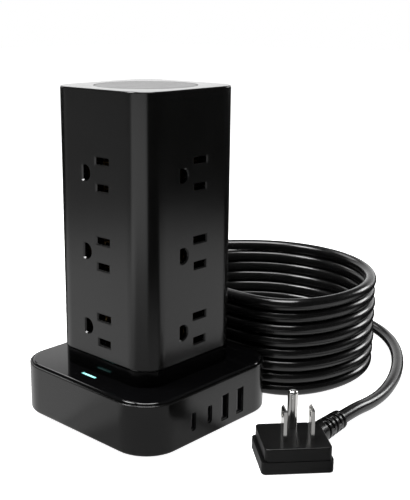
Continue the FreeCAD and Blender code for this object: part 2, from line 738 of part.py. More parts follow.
def cord_coil():
    """Outer shape of the wound cord: a ring one cord wide."""
    outer = Part.Face(coil_outline(CORD_R)).extrude(V(0, 0, COIL_TOP_Z))
    inner = Part.Face(coil_outline(-CORD_R)).extrude(V(0, 0, COIL_TOP_Z))
    return outer.cut(inner)


def place_plug(shape):
    """Move a shape from the plug's own corner to where the plug lies."""
    placed = shape.copy()
    placed.rotate(V(0, 0, 0), V(0, 0, 1), PLUG_TURN)
    placed.translate(V(PLUG_ORIGIN[0], PLUG_ORIGIN[1], 0))
    return placed


def plug_tier(x0, x1, y0, y1, z0, z1):
    """One tier of the plug's body, with its cord corner cut off square to the diagonal."""
    body = rounded_prism(x0, x1, y0, y1, 2.2, z0, z1)
    far = PLUG_WIDTH + 5
    corner = [V(PLUG_CUT_SUM - far, far, z0 - 1), V(far, far, z0 - 1), V(far, PLUG_CUT_SUM - far, z0 - 1)]
    wedge = Part.Face(Part.makePolygon(corner + corner[:1])).extrude(V(0, 0, z1 - z0 + 2))
    return body.cut(wedge)


def plug_body():
    """Lower tier of the flat plug, which lies on the floor."""
    tier = plug_tier(0, PLUG_WIDTH, 0, PLUG_DEPTH, 0, PLUG_SEAM_Z)
    return place_plug(round_level(tier, 0, 0.8))


def plug_face():
    """Upper tier of the flat plug, which carries the pins."""
    tier = plug_tier(1.4, PLUG_WIDTH - 0.9, 0.4, PLUG_DEPTH - 1.2, PLUG_SEAM_Z, PLUG_FACE_Z)
    tier = round_level(tier, PLUG_FACE_Z, 0.6)
    for u in BLADE_U:
        tier = tier.cut(blade(u))
    return place_plug(tier.cut(ground_pin()))


def blade(u):
    """One flat blade of the plug, with its tip bevelled."""
    thick = 0.76
    half = 3.17
    low = PLUG_FACE_Z - 4.0
    tip = PLUG_FACE_Z + 15.6
    body = box(u - thick, u + thick, BLADE_W - half, BLADE_W + half, low, tip - 1.2)
    wide = Part.makePolygon([V(u - thick, BLADE_W - half, tip - 1.2), V(u + thick, BLADE_W - half, tip - 1.2),
                             V(u + thick, BLADE_W + half, tip - 1.2), V(u - thick, BLADE_W + half, tip - 1.2),
                             V(u - thick, BLADE_W - half, tip - 1.2)])
    slim = Part.makePolygon([V(u - 0.3, BLADE_W - 2.4, tip), V(u + 0.3, BLADE_W - 2.4, tip),
                             V(u + 0.3, BLADE_W + 2.4, tip), V(u - 0.3, BLADE_W + 2.4, tip),
                             V(u - 0.3, BLADE_W - 2.4, tip)])
    return body.fuse(Part.makeLoft([wide, slim], True))


def plug_blades():
    """The two flat blades, each with a round hole near its tip."""
    blades = []
    for u in BLADE_U:
        hole = Part.makeCylinder(1.6, 4, V(u - 2, BLADE_W, PLUG_FACE_Z + 12.2), V(1, 0, 0))
        blades.append(place_plug(blade(u).cut(hole)))
    return Part.makeCompound(blades)


def ground_pin():
    """Round ground pin with a domed tip, in the plug's own coordinates."""
    tip = PLUG_FACE_Z + 18.6
    pin = cylinder(GROUND_PIN_U, GROUND_PIN_W, PLUG_FACE_Z - 4.0, tip, 2.4)
    return round_level(pin, tip, 1.5)


def plug_ground_pin():
    """The ground pin where the plug lies."""
    return place_plug(ground_pin())


def plug_strain_relief():
    """Ribbed sleeve on the plug's cut corner, along the diagonal of the plug."""
    profile = [(0, 0), (5.4, 0), (5.4, 5.0)]
    for index in range(4):
        start = 6.0 + index * 3.1
        outer = 5.2 - 0.1 * index
        profile += [(4.3, start), (4.3, start + 1.3), (outer, start + 1.7), (outer, start + 2.7)]
    profile += [(4.3, 18.8), (4.3, 19.5), (5.1, 19.9), (5.1, 23.2), (4.6, RELIEF_LENGTH), (0, RELIEF_LENGTH)]
    points = [V(along, radius, 0) for radius, along in profile]
    sleeve = Part.Face(Part.makePolygon(points + points[:1])).revolve(V(0, 0, 0), V(1, 0, 0), 360)
    sleeve.rotate(V(0, 0, 0), V(0, 0, 1), 45)
    middle = (PLUG_CUT_SUM + PLUG_WIDTH - PLUG_DEPTH) / 2
    sleeve.translate(V(middle, PLUG_CUT_SUM - middle, RELIEF_Z))
    return place_plug(sleeve)


export("base_shell", base_shell())
export("bottom_cover", bottom_cover())
export("rubber_feet", rubber_feet())
export("base_screws", base_screws())
export("top_plate", top_plate())
export("light_pipe", light_pipe())
export("indicator_led", indicator_led())
export("tower_collar", tower_collar())
export("tower_shell", tower_shell())
export("tower_screws", tower_screws())
export("power_button", power_button())
export("button_guide", button_guide())
export("button_spring", button_spring())
export("power_switch", power_switch())
export("switch_plunger", switch_plunger())
for face_name, face_angle in FACES:
    export("socket_frame_" + face_name, socket_frame(face_angle))
    export("hot_bar_" + face_name, bus_bar(face_angle, HOT_BAR_U, 0.4, -BLADE_PITCH / 2, CLIP_GAP))
    export("neutral_bar_" + face_name, bus_bar(face_angle, NEUTRAL_BAR_U, 7.2, BLADE_PITCH / 2, CLIP_GAP))
    export("ground_bar_" + face_name, bus_bar(face_angle, GROUND_BAR_U, -5.6, 0.0, GROUND_GAP))
export("hot_feed_wire", hot_feed_wire())
export("hot_wires", hot_wires())
export("neutral_wires", neutral_wires())
export("ground_wires", ground_wires())
export("surge_board", surge_board())
export("varistors", varistors())
export("thermal_fuse", thermal_fuse())
export("noise_choke", noise_choke())
export("overload_breaker", overload_breaker())
export("reset_button", reset_button())
export("usb_board", usb_board())
for number, port_x in enumerate(USB_C_X, 1):
    export("usb_c_port_%d" % number, usb_c_port(port_x))
for number, port_x in enumerate(USB_A_X, 1):
    export("usb_a_port_%d" % number, usb_a_port(port_x))
export("usb_tongues", usb_tongues())
export("usb_transformer", usb_transformer())
export("usb_capacitor", usb_capacitor())
export("cord_gland", cord_gland())
export("cord_lead", cord_tube("cord_lead", LEAD_ROUTE))
export("cord_coil", cord_coil())
export("cord_tail", cord_tube("cord_tail", TAIL_ROUTE))
export("plug_body", plug_body())
export("plug_face", plug_face())
export("plug_blades", plug_blades())
export("plug_ground_pin", plug_ground_pin())
export("plug_strain_relief", plug_strain_relief())
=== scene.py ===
"""Looks of a tower power strip: its finishes, the wound mains lead, the plug and a plain studio.

Lengths are in metres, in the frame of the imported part: +Z is up, the origin is on the floor under
the middle of the square base, and -Y is the side that holds the USB ports.
"""
import logging
import math
from dataclasses import dataclass, field
from enum import Enum

import bpy
from mathutils import Euler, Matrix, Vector


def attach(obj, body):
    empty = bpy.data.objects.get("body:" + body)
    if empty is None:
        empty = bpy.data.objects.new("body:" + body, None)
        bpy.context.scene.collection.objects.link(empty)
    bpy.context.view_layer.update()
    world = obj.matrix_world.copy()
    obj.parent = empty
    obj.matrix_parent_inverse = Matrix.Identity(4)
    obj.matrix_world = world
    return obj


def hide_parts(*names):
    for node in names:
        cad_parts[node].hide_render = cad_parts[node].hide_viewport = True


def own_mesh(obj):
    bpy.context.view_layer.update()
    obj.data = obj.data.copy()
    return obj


Colour = tuple[float, float, float]
Point = tuple[float, float, float]

logging.basicConfig(level=logging.INFO, format="%(levelname)s %(message)s")
log = logging.getLogger("power_strip")

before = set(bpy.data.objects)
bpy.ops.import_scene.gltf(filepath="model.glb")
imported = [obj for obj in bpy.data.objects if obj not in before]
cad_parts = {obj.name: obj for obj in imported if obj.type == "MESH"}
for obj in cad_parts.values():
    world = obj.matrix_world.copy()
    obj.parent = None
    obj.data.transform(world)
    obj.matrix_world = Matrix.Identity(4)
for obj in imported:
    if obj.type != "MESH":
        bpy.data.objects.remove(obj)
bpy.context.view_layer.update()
STUDIO_RAYS = ("camera", "glossy", "diffuse", "transmission", "volume_scatter", "shadow")

SOCKET_KINDS = {float: "NodeSocketFloat", int: "NodeSocketInt", tuple: "NodeSocketVector"}

# Sockets of a Mix node that mixes colours.
MIX_FIRST, MIX_SECOND, MIX_RESULT = 6, 7, 2


class Body(Enum):
    """Bodies of the frame that a piece may ride on."""

    TOWER = "tower"
    BUTTON = "button"
    RESET = "reset"


class Graph:
    """A node tree that is filled in by short calls."""

    def __init__(self, tree: bpy.types.NodeTree) -> None:
        """Start from an empty tree.

        Args:
            tree: Shader or geometry tree to fill in.
        """
        self.tree = tree
        tree.nodes.clear()

    def add(self, kind: str, inputs: dict | None = None, **options: object) -> bpy.types.Node:
        """Add a node.

        Args:
            kind: Identifier of the node's type.
            inputs: Value or output socket for each input, by its name or number.
            options: Properties of the node.

        Returns:
            The new node.
        """
        node = self.tree.nodes.new(kind)
        for name, value in options.items():
            setattr(node, name, value)
        for key, value in (inputs or {}).items():
            socket = node.inputs[key]
            if isinstance(value, bpy.types.NodeSocket):
                self.tree.links.new(value, socket)
            else:
                socket.default_value = value
        return node

    def feed(self, inputs: bpy.types.NodeInputs, sockets: dict[str, bpy.types.NodeSocket]) -> None:
        """Join sockets to a node's inputs, by the inputs' names."""
        for name, socket in sockets.items():
            self.tree.links.new(socket, inputs[name])

    def math(self, operation: str, *values: object) -> bpy.types.NodeSocket:
        """Add a Math node on one to three values and return its result."""
        inputs = dict(enumerate(values))
        return self.add("ShaderNodeMath", inputs, operation=operation).outputs[0]

    def ramp(self, value: bpy.types.NodeSocket, low: float, high: float, start: float, end: float,
             smooth: bool = False) -> bpy.types.NodeSocket:
        """Map a value from one range to another.

        Args:
            value: Socket to map.
            low: Value that gives start.
            high: Value that gives end.
            start: Result at low.
            end: Result at high.
            smooth: Ease in and out instead of mapping in a straight line.

        Returns:
            The mapped socket, held between start and end.
        """
        kind = "SMOOTHSTEP" if smooth else "LINEAR"
        inputs = {"Value": value, "From Min": low, "From Max": high, "To Min": start, "To Max": end}
        return self.add("ShaderNodeMapRange", inputs, interpolation_type=kind).outputs[0]

    def blend(self, factor: bpy.types.NodeSocket, first: Colour, second: Colour) -> bpy.types.NodeSocket:
        """Mix two colours by a factor."""
        node = self.add("ShaderNodeMix", {0: factor}, data_type="RGBA")
        node.inputs[MIX_FIRST].default_value = (*first, 1.0)
        node.inputs[MIX_SECOND].default_value = (*second, 1.0)
        return node.outputs[MIX_RESULT]

    def noise(self, vector: bpy.types.NodeSocket, scale: float, detail: float = 2.0,
              roughness: float = 0.5) -> bpy.types.NodeSocket:
        """Add a noise texture and return its value."""
        inputs = {"Vector": vector, "Scale": scale, "Detail": detail, "Roughness": roughness}
        return self.add("ShaderNodeTexNoise", inputs).outputs[0]

    def stretched(self, vector: bpy.types.NodeSocket, scale: Point,
                  turn: Point = (0, 0, 0)) -> bpy.types.NodeSocket:
        """Scale and turn texture coordinates."""
        inputs = {"Vector": vector, "Rotation": turn, "Scale": scale}
        return self.add("ShaderNodeMapping", inputs).outputs[0]

    def bump(self, height: bpy.types.NodeSocket, strength: float, distance: float,
             below: bpy.types.NodeSocket | None = None) -> bpy.types.NodeSocket:
        """Add a bump of a height in metres, over another one if it is given."""
        inputs = {"Height": height, "Strength": strength, "Distance": distance}
        if below is not None:
            inputs["Normal"] = below
        return self.add("ShaderNodeBump", inputs).outputs[0]


def new_material(name: str) -> tuple[bpy.types.Material, Graph]:
    """Make a node material and return it with the graph of its empty tree."""
    material = bpy.data.materials.new(name)
    material.use_nodes = True
    return material, Graph(material.node_tree)


def linked_object(name: str, data: bpy.types.ID) -> bpy.types.Object:
    """Make an object of a mesh, curve, light or camera and link it to the scene."""
    made = bpy.data.objects.new(name, data)
    bpy.context.scene.collection.objects.link(made)
    return made


@dataclass(frozen=True)
class Finish:
    """What every finish has: its name, its main colour and its roughness."""

    name: str
    colour: Colour
    roughness: float
    specular: float = field(default=0.5, kw_only=True)

    @property
    def label(self) -> str:
        """Name of the material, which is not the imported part's own one."""
        return self.name + "_finish"

    def make(self) -> bpy.types.Material:
        """Build the material.

        Returns:
            A new node material with this finish.
        """
        material, graph = new_material(self.label)
        shader = graph.add("ShaderNodeBsdfPrincipled", {"Roughness": self.roughness})
        shader.inputs["Base Color"].default_value = (*self.colour, 1.0)
        shader.inputs["Specular IOR Level"].default_value = self.specular
        graph.add("ShaderNodeOutputMaterial", {"Surface": shader.outputs[0]})
        where = graph.add("ShaderNodeTexCoord").outputs["Object"]
        self.dress(graph, shader.inputs, where)
        return material

    def lighter(self, factor: float) -> Colour:
        """The main colour, lightened or darkened."""
        return tuple(min(1.0, part * factor) for part in self.colour)

    def dress(self, graph: Graph, shader: bpy.types.NodeInputs, where: bpy.types.NodeSocket) -> None:
        """Join this finish's own nodes to the shader.

        Args:
            graph: Tree of the material.
            shader: Inputs of the Principled shader.
            where: Object coordinates.
        """


@dataclass(frozen=True)
class MouldedPlastic(Finish):
    """Plastic from a fine-grained mould, with a little flow mottling."""

    grain: float = 2600.0
    depth: float = 0.000005
    mottle: float = 55.0
    spread: float = 0.012
    flow_band: tuple[float, float] = (0.3, 0.7)
    dark: float = 0.82
    light: float = 1.2

    def dress(self, graph: Graph, shader: bpy.types.NodeInputs, where: bpy.types.NodeSocket) -> None:
        """Grain in the bump, and mottling in the colour and the roughness."""
        flow = graph.noise(where, self.mottle, 4.0, 0.6)
        pores = graph.noise(where, self.grain, 2.0)
        factor = graph.ramp(flow, *self.flow_band, 0, 1)
        colour = graph.blend(factor, self.lighter(self.dark), self.lighter(self.light))
        low, high = self.roughness - self.spread, self.roughness + self.spread
        rough = graph.ramp(flow, *self.flow_band, low, high)
        graph.feed(shader, {"Base Color": colour, "Roughness": rough,
                            "Normal": graph.bump(pores, 0.5, self.depth)})


@dataclass(frozen=True)
class PolishedPlastic(Finish):
    """Mirror-moulded plastic with faint wiping marks and hairlines."""

    wipe: float = 30.0
    wipe_stretch: Point = (1, 0.25, 1)
    wipe_turn: Point = (0, 0, 0.6)
    hairline: float = 900.0
    hairline_stretch: Point = (1, 0.02, 1)
    hairline_turn: Point = (0, 0, 0.9)
    hairline_haze: float = 0.12
    wipe_haze: float = 0.05
    ripple: float = 0.00002

    def dress(self, graph: Graph, shader: bpy.types.NodeInputs, where: bpy.types.NodeSocket) -> None:
        """Wiping marks and hairlines in the roughness, and a faint ripple in the bump."""
        wiped = graph.stretched(where, self.wipe_stretch, self.wipe_turn)
        marks = graph.noise(wiped, self.wipe, 5.0, 0.65)
        drawn = graph.stretched(where, self.hairline_stretch, self.hairline_turn)
        lines = graph.noise(drawn, self.hairline, 1.0)
        fine = graph.ramp(lines, 0.68, 0.75, 0.0, self.hairline_haze)
        rough = graph.ramp(marks, 0.35, 0.75, self.roughness, self.roughness + self.wipe_haze)
        graph.feed(shader, {"Roughness": graph.math("ADD", rough, fine),
                            "Base Color": graph.blend(marks, self.lighter(0.8), self.lighter(1.3)),
                            "Normal": graph.bump(marks, 0.15, self.ripple)})


@dataclass(frozen=True)
class Vinyl(Finish):
    """Extruded vinyl jacket or insulation, with a slight skin."""

    skin: float = 420.0
    depth: float = 0.00006
    handling: float = 70.0
    smoother: float = 0.04
    rougher: float = 0.08

    def dress(self, graph: Graph, shader: bpy.types.NodeInputs, where: bpy.types.NodeSocket) -> None:
        """Orange-peel skin in the bump, handling marks in the roughness."""
        skin = graph.noise(where, self.skin, 2.0, 0.4)
        marks = graph.noise(where, self.handling, 5.0, 0.7)
        low, high = self.roughness - self.smoother, self.roughness + self.rougher
        rough = graph.ramp(marks, 0.35, 0.7, low, high)
        graph.feed(shader, {"Base Color": graph.blend(marks, self.lighter(0.75), self.lighter(1.4)),
                            "Roughness": rough, "Normal": graph.bump(skin, 0.25, self.depth)})


@dataclass(frozen=True)
class Rubber(Finish):
    """Matt rubber with a dusty speckle."""

    speckle: float = 1500.0
    pits: float = 1800.0
    dust: float = 2.2
    depth: float = 0.00004

    def dress(self, graph: Graph, shader: bpy.types.NodeInputs, where: bpy.types.NodeSocket) -> None:
        """Speckle in the colour and small pits in the bump."""
        speckle = graph.noise(where, self.speckle, 3.0, 0.7)
        pits = graph.add("ShaderNodeTexVoronoi", {"Vector": where, "Scale": self.pits}).outputs[0]
        factor = graph.ramp(speckle, 0.45, 0.75, 0, 1)
        graph.feed(shader, {"Base Color": graph.blend(factor, self.colour, self.lighter(self.dust)),
                            "Normal": graph.bump(pits, 0.4, self.depth)})


@dataclass(frozen=True)
class SheetMetal(Finish):
    """Plated, rolled or drawn metal with fine lines along one direction."""

    lines: Point = (1.0, 1.0, 0.04)
    tarnish: float = 0.8
    drawing: float = 2400.0
    staining: float = 180.0
    smoother: float = 0.6
    rougher: float = 1.4
    depth: float = 0.000006

    def dress(self, graph: Graph, shader: bpy.types.NodeInputs, where: bpy.types.NodeSocket) -> None:
        """Rolling lines in the roughness and the bump, tarnish in the colour."""
        shader["Metallic"].default_value = 1.0
        drawn = graph.noise(graph.stretched(where, self.lines), self.drawing, 3.0, 0.6)
        stain = graph.noise(where, self.staining, 4.0, 0.6)
        low, high = self.roughness * self.smoother, self.roughness * self.rougher
        rough = graph.ramp(drawn, 0.3, 0.7, low, high)
        graph.feed(shader, {"Base Color": graph.blend(stain, self.colour, self.lighter(self.tarnish)),
                            "Roughness": rough, "Normal": graph.bump(drawn, 0.2, self.depth)})


@dataclass(frozen=True)
class CircuitBoard(Finish):
    """Solder mask over copper tracks, with tinned pads."""

    tracks: float = 260.0
    pads: float = 330.0
    tin: Colour = (0.62, 0.62, 0.6)
    over_copper: float = 1.8
    depth: float = 0.00004

    def dress(self, graph: Graph, shader: bpy.types.NodeInputs, where: bpy.types.NodeSocket) -> None:
        """Tracks lighten the mask, and pads turn it to tin."""
        cells = graph.add("ShaderNodeTexVoronoi", {"Vector": where, "Scale": self.tracks, "Randomness": 0.35},
                          distance="CHEBYCHEV", feature="DISTANCE_TO_EDGE").outputs[0]
        dots = graph.add("ShaderNodeTexVoronoi", {"Vector": where, "Scale": self.pads,
                                                  "Randomness": 0.2}).outputs[0]
        track = graph.ramp(cells, 0.10, 0.13, 1, 0)
        pad = graph.ramp(dots, 0.18, 0.22, 1, 0)
        mask = graph.blend(track, self.colour, self.lighter(self.over_copper))
        both = graph.add("ShaderNodeMix", {0: pad, MIX_FIRST: mask}, data_type="RGBA")
        both.inputs[MIX_SECOND].default_value = (*self.tin, 1)
        raised = graph.math("MAXIMUM", track, pad)
        graph.feed(shader, {"Base Color": both.outputs[MIX_RESULT], "Metallic": pad,
                            "Normal": graph.bump(raised, 0.6, self.depth)})


@dataclass(frozen=True)
class LitLens(Finish):
    """Diffusing lens, brightest in the middle of its length."""

    edge: Colour = (0.02, 0.36, 0.34)
    middle: float = 0.00245
    half_length: float = 0.0048
    core: float = 0.3
    power: float = 1.0

    def dress(self, graph: Graph, shader: bpy.types.NodeInputs, where: bpy.types.NodeSocket) -> None:
        """Light falls off from the middle towards the two ends."""
        along = graph.add("ShaderNodeSeparateXYZ", {0: where}).outputs[1]
        far = graph.math("ABSOLUTE", graph.math("SUBTRACT", along, self.middle))
        factor = graph.ramp(far, self.half_length * self.core, self.half_length, 0, 1)
        grain = graph.noise(where, 2500.0)
        graph.feed(shader, {"Emission Color": graph.blend(factor, self.colour, self.edge),
                            "Normal": graph.bump(grain, 0.1, 0.00001)})
        shader["Emission Strength"].default_value = self.power


class Look(Enum):
    """Every finish, by the record's material slot that it dresses."""

    SATIN_BLACK = MouldedPlastic("satin_black", (0.0018, 0.0018, 0.0017), 0.17)
    GLOSS_BLACK = PolishedPlastic("gloss_black", (0.002, 0.002, 0.0022), 0.035)
    COLLAR_BLACK = PolishedPlastic("collar_black", (0.0012, 0.0012, 0.0013), 0.12, specular=0.12)
    BUTTON_BLACK = MouldedPlastic("button_black", (0.004, 0.004, 0.004), 0.26, grain=3400.0)
    INNER_BLACK = MouldedPlastic("inner_black", (0.006, 0.006, 0.006), 0.55)
    INSULATOR_WHITE = MouldedPlastic("insulator_white", (0.72, 0.7, 0.65), 0.5)
    FEET_RUBBER = Rubber("feet_rubber", (0.012, 0.012, 0.012), 0.8)
    SCREW_STEEL = SheetMetal("screw_steel", (0.5, 0.5, 0.52), 0.32)
    CONTACT_BRASS = SheetMetal("contact_brass", (0.30, 0.20, 0.085), 0.42)
    PIN_NICKEL = SheetMetal("pin_nickel", (0.83, 0.82, 0.8), 0.13, tarnish=0.92)
    PORT_STEEL = SheetMetal("port_steel", (0.16, 0.16, 0.165), 0.35)
    SPRING_STEEL = SheetMetal("spring_steel", (0.45, 0.45, 0.47), 0.28)
    CORD_JACKET = Vinyl("cord_jacket", (0.0022, 0.0022, 0.0022), 0.2)
    PLUG_BLACK = MouldedPlastic("plug_black", (0.003, 0.003, 0.003), 0.32, grain=1900.0, depth=0.000012,
                                specular=0.33)
    TONGUE_GREY = MouldedPlastic("tongue_grey", (0.05, 0.05, 0.052), 0.4)
    LIGHT_CYAN = LitLens("light_cyan", (0.36, 0.86, 0.82), 0.25)
    BOARD_GREEN = CircuitBoard("board_green", (0.01, 0.09, 0.03), 0.35)
    VARISTOR_BLUE = MouldedPlastic("varistor_blue", (0.02, 0.09, 0.35), 0.3)
    FUSE_BEIGE = MouldedPlastic("fuse_beige", (0.55, 0.44, 0.26), 0.45)
    FERRITE_GREEN = MouldedPlastic("ferrite_green", (0.05, 0.19, 0.08), 0.4)
    CAN_ALUMINIUM = SheetMetal("can_aluminium", (0.68, 0.68, 0.7), 0.25)
    WINDING_YELLOW = MouldedPlastic("winding_yellow", (0.65, 0.46, 0.05), 0.4)
    WIRE_BLACK = Vinyl("wire_black", (0.01, 0.01, 0.01), 0.35)
    WIRE_WHITE = Vinyl("wire_white", (0.62, 0.62, 0.6), 0.35)
    WIRE_GREEN = Vinyl("wire_green", (0.02, 0.26, 0.06), 0.35)
    CONTACT_GOLD = SheetMetal("contact_gold", (0.85, 0.6, 0.25), 0.22)

    @property
    def slot(self) -> str:
        """Name of the record's material slot."""
        return self.value.name

    def material(self) -> bpy.types.Material:
        """The finish's material, made when it is first asked for."""
        found = bpy.data.materials.get(self.value.label)
        return found or self.value.make()


def dress_node(name: str, look: Look) -> None:
    """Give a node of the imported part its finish.

    Args:
        name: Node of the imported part.
        look: Finish that it gets.
    """
    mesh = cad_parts[name].data
    mesh.materials.clear()
    mesh.materials.append(look.material())
    log.info("dressed %s with %s", name, look.slot)


def settle(piece: bpy.types.Object, body: Body) -> bpy.types.Object:
    """Make a new piece ride on its body.

    Args:
        piece: Finished object, at the origin.
        body: Body that carries it.

    Returns:
        The same object.
    """
    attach(piece, body.value)
    log.info("built %s on %s", piece.name, body.value)
    return piece


def grown(tree: bpy.types.NodeTree, name: str, values: dict[str, object]) -> bpy.types.Object:
    """Run a geometry tree once and keep its result as a plain mesh.

    Args:
        tree: Geometry tree with named inputs.
        name: Name of the new object.
        values: Value of each named input.

    Returns:
        A mesh object at the origin with no modifier.
    """
    seed = linked_object(name + "_seed", bpy.data.meshes.new(name + "_seed"))
    modifier = seed.modifiers.new("grow", "NODES")
    modifier.node_group = tree
    sockets = {item.name: item.identifier for item in tree.interface.items_tree if item.in_out == "INPUT"}
    for label, value in values.items():
        modifier[sockets[label]] = value
    bpy.context.view_layer.update()
    evaluated = seed.evaluated_get(bpy.context.evaluated_depsgraph_get())
    mesh = bpy.data.meshes.new_from_object(evaluated)
    mesh.name = name
    bpy.data.objects.remove(seed)
    return linked_object(name, mesh)


def geometry_tree(name: str, inputs: dict[str, object]) -> Graph:
    """Start a geometry tree with named inputs, a material input and one mesh output.

    Args:
        name: Name of the tree.
        inputs: Default of each named input, whose socket is of the default's type.

    Returns:
        The tree's graph.
    """
    tree = bpy.data.node_groups.new(name, "GeometryNodeTree")
    graph = Graph(tree)
    tree.interface.new_socket("Geometry", in_out="OUTPUT", socket_type="NodeSocketGeometry")
    for label, default in inputs.items():
        kind = SOCKET_KINDS[type(default)]
        tree.interface.new_socket(label, in_out="INPUT", socket_type=kind).default_value = default
    tree.interface.new_socket("Material", in_out="INPUT", socket_type="NodeSocketMaterial")
    return graph


def finish_tree(graph: Graph, mesh: bpy.types.NodeSocket, material: bpy.types.NodeSocket) -> None:
    """End a geometry tree in real faces that wear a material."""
    real = graph.add("GeometryNodeRealizeInstances", {"Geometry": mesh}).outputs[0]
    worn = graph.add("GeometryNodeSetMaterial", {"Geometry": real, "Material": material}).outputs[0]
    graph.add("NodeGroupOutput", {0: worn})


@dataclass
class StrainRelief:
    """Tapered sleeve whose grooves are cut from alternate sides, along its own axis."""

    name: str
    start: Point
    heading: float
    length: float
    radius: float
    tip_radius: float
    slots: int
    collar: float
    groove: float = 0.0011
    plain_end: float = 1.35
    opens: tuple[float, float] = (0.42, 0.52)
    shuts: tuple[float, float] = (0.88, 0.98)
    web: tuple[float, float] = (0.2, 0.34)
    end_round: tuple[float, float] = (0.0006, 0.0005)
    weld: float = 0.000002
    rows: int = 260
    columns: int = 64
    body: Body = Body.TOWER
    look: Look = Look.CORD_JACKET

    def tree(self) -> bpy.types.NodeTree:
        """Grid rolled into a closed sleeve, with its radius worked out row by row.

        Returns:
            The geometry tree.
        """
        graph = geometry_tree("strain_relief_sleeve", {
            "Length": 0.02, "Radius": 0.006, "Tip Radius": 0.004, "Collar": 0.004, "Slots": 5,
            "Groove": 0.001, "Rows": 200, "Columns": 48})
        given = graph.add("NodeGroupInput").outputs
        grid = graph.add("GeometryNodeMeshGrid", {"Size X": 1.0, "Size Y": 1.0, "Vertices X": given["Rows"],
                                                  "Vertices Y": given["Columns"]}).outputs[0]
        place = graph.add("ShaderNodeSeparateXYZ", {0: graph.add("GeometryNodeInputPosition").outputs[0]})
        raw = graph.math("ADD", place.outputs[0], 0.5)
        turn = graph.math("MULTIPLY", graph.math("ADD", place.outputs[1], 0.5), math.tau)
        step = graph.math("DIVIDE", 1.0, graph.math("SUBTRACT", given["Rows"], 1.0))
        body = graph.add("ShaderNodeMapRange", {"Value": raw, "From Min": step,
                                                "From Max": graph.math("SUBTRACT", 1.0, step)}).outputs[0]
        along = graph.math("MULTIPLY", body, given["Length"])
        taper = graph.add("ShaderNodeMapRange", {"Value": body, "To Min": given["Radius"],
                                                 "To Max": given["Tip Radius"]}).outputs[0]
        past = graph.math("SUBTRACT", along, given["Collar"])
        plain = graph.math("MULTIPLY", given["Collar"], self.plain_end)
        room = graph.math("SUBTRACT", given["Length"], plain)
        count = graph.math("MULTIPLY", graph.math("DIVIDE", past, room), given["Slots"])
        index = graph.math("FLOOR", count)
        within = graph.math("FRACT", count)
        inside = graph.math("MULTIPLY", graph.math("GREATER_THAN", count, 0.0),
                            graph.math("LESS_THAN", count, given["Slots"]))
        open_side = graph.ramp(within, *self.opens, 0, 1, smooth=True)
        shut_side = graph.ramp(within, *self.shuts, 1, 0, smooth=True)
        groove = graph.math("MULTIPLY", inside, graph.math("MULTIPLY", open_side, shut_side))
        quarter = graph.math("MULTIPLY", graph.math("MODULO", index, 2.0), math.pi / 2)
        web = graph.math("ABSOLUTE", graph.math("COSINE", graph.math("ADD", turn, quarter)))
        sides = graph.ramp(web, *self.web, 0, 1, smooth=True)
        sunk = graph.math("MULTIPLY", graph.math("MULTIPLY", groove, sides), given["Groove"])
        from_end = graph.math("MINIMUM", along, graph.math("SUBTRACT", given["Length"], along))
        reach, drop = self.end_round
        round_end = graph.ramp(from_end, 0.0, reach, drop, 0.0, smooth=True)
        full = graph.math("SUBTRACT", graph.math("SUBTRACT", taper, sunk), round_end)
        half_step = graph.math("MULTIPLY", step, 0.5)
        past_first = graph.math("GREATER_THAN", raw, half_step)
        before_last = graph.math("LESS_THAN", raw, graph.math("SUBTRACT", 1.0, half_step))
        between = graph.math("MULTIPLY", past_first, before_last)
        radius = graph.math("MULTIPLY", full, between)
        spot = graph.add("ShaderNodeCombineXYZ", {
            0: along, 1: graph.math("MULTIPLY", radius, graph.math("COSINE", turn)),
            2: graph.math("MULTIPLY", radius, graph.math("SINE", turn))}).outputs[0]
        rolled = graph.add("GeometryNodeSetPosition", {"Geometry": grid, "Position": spot}).outputs[0]
        shut = graph.add("GeometryNodeMergeByDistance", {"Geometry": rolled,
                                                         "Distance": self.weld}).outputs[0]
        outward = graph.add("GeometryNodeFlipFaces", {"Mesh": shut}).outputs[0]
        smooth = graph.add("GeometryNodeSetShadeSmooth", {"Geometry": outward}).outputs[0]
        finish_tree(graph, smooth, given["Material"])
        return graph.tree

    def build(self) -> bpy.types.Object:
        """Grow the sleeve and lay it along its heading.

        Returns:
            The finished sleeve.
        """
        tree = bpy.data.node_groups.get("strain_relief_sleeve") or self.tree()
        piece = grown(tree, self.name + "_sleeve", {
            "Length": self.length, "Radius": self.radius, "Tip Radius": self.tip_radius,
            "Collar": self.collar, "Slots": self.slots, "Groove": self.groove, "Rows": self.rows,
            "Columns": self.columns, "Material": self.look.material()})
        piece.data.transform(Euler((0, 0, self.heading)).to_matrix().to_4x4())
        for vertex in piece.data.vertices:
            vertex.co += Vector(self.start)
        piece.data.update()
        return settle(piece, self.body)


